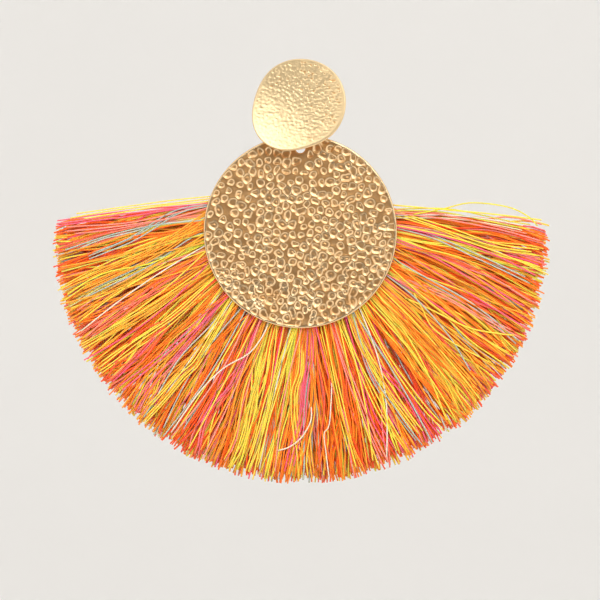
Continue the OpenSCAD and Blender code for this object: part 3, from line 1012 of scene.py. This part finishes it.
class EARRING_OT_strays(Operator):
    """The bundles on top, and single threads that stray across the front of the fringe"""

    bl_idname = "earring.strays"
    bl_label = "Stray threads"

    def execute(self, context):
        settings = context.scene.earring_threads
        rng = np.random.RandomState(settings.seed + 1)
        run = np.linspace(0, 1, STRAY_POINTS)
        lines, dye = [], []

        def lay(flat, y, own_dye):
            """Adds a thread from its line in X and Z, its depths and its dye."""
            lines.append(np.stack([flat[:, 0], y, flat[:, 1]], -1))
            dye.append(own_dye)

        for name, many, places in ACCENTS:
            flat = through(places, STRAY_POINTS)
            ahead = unit(np.gradient(flat, axis=0))
            aside = np.stack([-ahead[:, 1], ahead[:, 0]], 1)
            depth = rng.uniform(3.62, 3.85)
            for part in np.linspace(-0.5, 0.5, many):
                lean = part * many * (0.22 + 0.16 * run) + rng.normal(0, 0.08)
                lean = lean + rng.uniform(0.04, 0.16) * np.sin(
                    math.tau * rng.uniform(0.8, 1.8) * run + rng.uniform(0, 6))
                # Half of the threads end a little short
                last = STRAY_POINTS - int(rng.choice([0, 0, 1, 2]))
                laid = through((flat + lean[:, None] * aside)[:last], STRAY_POINTS)
                y = depth + rng.uniform(-0.08, 0.2) - 0.1 * np.sin(run * math.pi)
                lay(laid, y, dye_at(name) + rng.normal(0, 0.012))
        arch = 3.55 - 0.25 * np.sin(np.linspace(0.1, 1, STRAY_POINTS) * math.pi)
        for name, places in STRAYS:
            lay(through(places, STRAY_POINTS), arch + rng.uniform(-0.1, 0.1), dye_at(name))
        rim_angle = rng.uniform(-100, 96, LOOSE)
        turn = rng.normal(0, 7.0, LOOSE)
        strands, place, across = thread_lines(
            rim_angle, turn, rng.uniform(-0.4, 2.6, LOOSE), hidden=4, shown=STRAY_POINTS - 5)
        bend = rng.normal(0, 0.9, LOOSE)[:, None] * np.sin(math.pi * np.clip(place, 0, 1))
        strands = strands + bend[:, :, None] * across[:, None, :]
        arch = np.interp(place, [-0.45, 0, 0.25, 1], [3.8, 3.62, 3.5, 3.7])
        y = arch + rng.uniform(-0.1, 0.12, LOOSE)[:, None]
        loose = rng.choice([dye_at(n) for n in LOOSE_DYES], LOOSE, p=list(LOOSE_DYES.values()))
        for strand in zip(strands, y, loose):
            lay(*strand)
        radius = settings.thickness / 2 * rng.uniform(0.75, 0.95, len(lines))[:, None]
        sweep("threads_stray", np.array(lines), radius, np.array(dye)[:, None])
        return {"FINISHED"}


class EARRING_OT_head(Operator):
    """The bound head on the back, where each thread is folded over and tied"""

    bl_idname = "earring.head"
    bl_label = "Thread head"

    def execute(self, context):
        settings = context.scene.earring_threads
        rng = np.random.RandomState(settings.seed + 2)
        count, per = HEAD_THREADS, 20
        angle = np.linspace(FAN_LEFT + 1, FAN_RIGHT - 1, count) + rng.uniform(-0.5, 0.5, count)
        shape = through(HEAD_FOLD, per)
        lines = np.zeros((count, per, 3))
        for i in range(count):
            # Every other thread is folded a little inside its neighbours
            nested = i % 2
            out = shape[:, 0] + 0.16 * nested + rng.uniform(-0.05, 0.05)
            deep = HEAD_MIDDLE + (shape[:, 1] - HEAD_MIDDLE) * (1 - 0.03 * nested)
            way = heading(angle[i] + rng.normal(0, 0.8) * np.linspace(-1, 1, per))
            lines[i] = np.stack([FAN_X + out * way[:, 0], deep, FAN_Z + out * way[:, 1]], -1)
        dye = np.repeat(random_dyes(rng, count), rng.choice([2, 3, 4, 5], count))[:count]
        sweep("thread_head", lines, settings.thickness / 2 * 1.04, dye[:, None])
        self.binding()
        return {"FINISHED"}

    def binding(self):
        """A two-ply cord laid twice along the head and turned back at one end."""
        angles = np.radians(np.linspace(FAN_LEFT + 1.5, FAN_RIGHT - 1.5, 60))
        path = through(np.concatenate([
            np.stack([FAN_X + reach * np.sin(way), np.full(60, BINDING_Y),
                      FAN_Z - reach * np.cos(way)], -1)
            for reach, way in zip(BINDING_RADII, (angles, angles[::-1]))]), 620)
        length = np.linalg.norm(np.diff(path, axis=0), axis=1).sum()
        up = np.array([0.0, 1.0, 0.0])
        aside = np.cross(unit(np.gradient(path, axis=0)), up)
        turns = np.linspace(0, 1, len(path)) * length / BINDING_PITCH * math.tau
        plies = np.array([
            path + 0.15 * (np.cos(turns + phase)[:, None] * up
                           + np.sin(turns + phase)[:, None] * aside)
            for phase in (0, math.pi)])
        dye = np.array([[dye_at("flame")], [dye_at("orange")]])
        sweep("head_binding", plies, 0.17 * MM, dye)


# The camera's view at the disc's front, and where its middle lies, in metres
LENS_MM, SENSOR_MM = 300.0, 36.0
VIEW_WIDE = 0.1086
VIEW_X, VIEW_Z = -0.00005, -0.0378

# The floor's height, its reach, the round of its edge and the top of the wall, in millimetres
FLOOR_Z, FLOOR_REACH, FLOOR_ROUND, WALL_TOP = -400.0, 4000.0, 3000.0, 5000.0

# Softboxes: place, side in metres, power in watts, and whether the metal mirrors it. Then what
# they leave out, and the way in which the tent is darkest
SOFTBOXES = {
    "face_light": ((0.1, -0.45, 0.22), 0.3, 0.6, True),
    "fill_light": ((0.04, -0.7, 0.02), 0.3, 2.0, False),
    "left_light": ((-0.6, -0.3, 0.05), 0.4, 1.7, False),
    "right_light": ((0.6, -0.35, 0.12), 0.4, 1.7, False),
    "back_light": ((0.2, 0.6, 0.5), 0.5, 2.5, False),
}
UNLIT = "lit by the tent alone"
DARK_WAY = Vector((-0.06, -1.0, -0.09)).normalized()


class EARRING_OT_stage(Operator):
    """Pale floor that curves up into a wall, soft lights and the camera"""

    bl_idname = "earring.stage"
    bl_label = "Stage"

    def execute(self, context):
        settings = context.scene.earring_stage
        scene = context.scene
        scene.view_settings.view_transform = "Standard"
        self.room(settings)
        self.sky(scene)
        self.softbox("key_light", (-0.16, -0.42, 0.4), 0.34, settings.key_power)
        for name, facts in SOFTBOXES.items():
            self.softbox(name, *facts)
        camera = bpy.data.cameras.new("camera")
        camera.lens = LENS_MM
        camera.sensor_width = SENSOR_MM
        camera.clip_start, camera.clip_end = 0.01, 20.0
        shown = bpy.data.objects.new("camera", camera)
        away = VIEW_WIDE * LENS_MM / SENSOR_MM
        shown.location = (VIEW_X, DISC_FRONT * MM - away, VIEW_Z)
        shown.rotation_euler = (math.pi / 2, 0, 0)
        scene.collection.objects.link(shown)
        scene.camera = shown
        return {"FINISHED"}

    def room(self, settings):
        """A matt painted floor whose edge sweeps up all round. It isn't mirrored in the metal,
        and the softboxes don't light it, so that it stays even from every side."""
        material, tree, shader = new_material("matt_paint_pale")
        place = add_node(tree, "ShaderNodeTexCoord").outputs["Object"]
        mottle = add_node(tree, "ShaderNodeTexNoise", {"Scale": 3.0, "Detail": 2.0},
                          {"Vector": place})
        pale = tuple(settings.floor)
        dim = tuple(c * 0.985 for c in pale[:3]) + (1.0,)
        ramp = add_node(tree, "ShaderNodeValToRGB", {"stops": [(0.3, dim), (0.7, pale)]},
                        {"Fac": mottle})
        add_node(tree, shader, {"Roughness": 0.9}, {"Base Color": ramp})
        flat = FLOOR_REACH - FLOOR_ROUND
        line = [(0.0, FLOOR_Z), (flat, FLOOR_Z)]
        line += [(flat + FLOOR_ROUND * math.sin(t), FLOOR_Z + FLOOR_ROUND * (1 - math.cos(t)))
                 for t in (math.pi / 2 * k / 12 for k in range(1, 13))]
        line.append((FLOOR_REACH, WALL_TOP))
        bm = turned([(r, 0, z) for r, z in line], (0, 0, 1), 96, 1e-3)
        bmesh.ops.reverse_faces(bm, faces=bm.faces)
        room = finished(bm, "floor", material)
        room.visible_glossy = False
        room.visible_shadow = False
        unlit = bpy.data.collections.new(UNLIT)
        unlit.objects.link(room)
        unlit.collection_objects[0].light_linking.link_state = "EXCLUDE"

    def sky(self, scene):
        """A soft tent of light, darker in front of the earring, so that its metal has depth."""
        world = bpy.data.worlds.new("tent")
        scene.world = world
        world.use_nodes = True
        tree = world.node_tree
        way = add_node(tree, "ShaderNodeTexCoord").outputs["Generated"]
        parts = add_node(tree, "ShaderNodeSeparateXYZ", links={"Vector": way})
        front = add_node(tree, "ShaderNodeVectorMath",
                         {"operation": "DOT_PRODUCT", 1: DARK_WAY}, {0: way})
        dark = add_node(tree, "ShaderNodeMapRange",
                        {"interpolation_type": "SMOOTHSTEP", "From Min": 0.68, "From Max": 0.985,
                         "To Min": 1.2, "To Max": 0.23}, {"Value": front.outputs["Value"]})
        back = add_node(tree, "ShaderNodeMapRange",
                        {"interpolation_type": "SMOOTHSTEP", "From Min": -0.35, "From Max": 0.5,
                         "To Min": 1.0, "To Max": 0.4}, {"Value": parts.outputs["Y"]})
        level = add_node(tree, "ShaderNodeMath", {"operation": "MULTIPLY"}, {0: dark, 1: back})
        add_node(tree, tree.nodes["Background"], {"Color": linear("#FFFBF5")}, {"Strength": level})

    def softbox(self, name, place, size, power, mirrored=False):
        """A square area light that points at the earring and leaves the floor to the tent."""
        light = bpy.data.lights.new(name, "AREA")
        light.size = size
        light.energy = power
        lamp = bpy.data.objects.new(name, light)
        lamp.location = place
        aim = Vector((0, 0, -0.035)) - Vector(place)
        lamp.rotation_euler = aim.to_track_quat("-Z", "Y").to_euler()
        lamp.visible_camera = False
        lamp.visible_glossy = mirrored
        lamp.light_linking.receiver_collection = bpy.data.collections[UNLIT]
        bpy.context.scene.collection.objects.link(lamp)


class EARRING_PT_panel(Panel):
    bl_label = "Tassel earring"
    bl_idname = "EARRING_PT_panel"
    bl_space_type = "VIEW_3D"
    bl_region_type = "UI"
    bl_category = "Earring"

    def draw(self, context):
        scene = context.scene
        for settings, operators in (
                (scene.earring_plates, (EARRING_OT_large_disc, EARRING_OT_stud, EARRING_OT_ring)),
                (scene.earring_threads, (EARRING_OT_fringe, EARRING_OT_strays, EARRING_OT_head)),
                (scene.earring_stage, (EARRING_OT_stage,))):
            box = self.layout.box()
            for key in settings.__annotations__:
                box.prop(settings, key)
            for operator in operators:
                box.operator(operator.bl_idname)


CLASSES = (
    PlateSettings, ThreadSettings, StageSettings, EARRING_OT_large_disc, EARRING_OT_stud,
    EARRING_OT_ring, EARRING_OT_fringe, EARRING_OT_strays, EARRING_OT_head, EARRING_OT_stage,
    EARRING_PT_panel,
)


def register():
    for kind in CLASSES:
        bpy.utils.register_class(kind)
    bpy.types.Scene.earring_plates = PointerProperty(type=PlateSettings)
    bpy.types.Scene.earring_threads = PointerProperty(type=ThreadSettings)
    bpy.types.Scene.earring_stage = PointerProperty(type=StageSettings)


def unregister():
    del bpy.types.Scene.earring_stage
    del bpy.types.Scene.earring_threads
    del bpy.types.Scene.earring_plates
    for kind in reversed(CLASSES):
        bpy.utils.unregister_class(kind)


def main():
    register()
    bpy.ops.earring.stage()
    bpy.ops.earring.large_disc()
    bpy.ops.earring.stud()
    bpy.ops.earring.ring()
    bpy.ops.earring.fringe()
    bpy.ops.earring.strays()
    bpy.ops.earring.head()


if __name__ == "__main__":
    main()
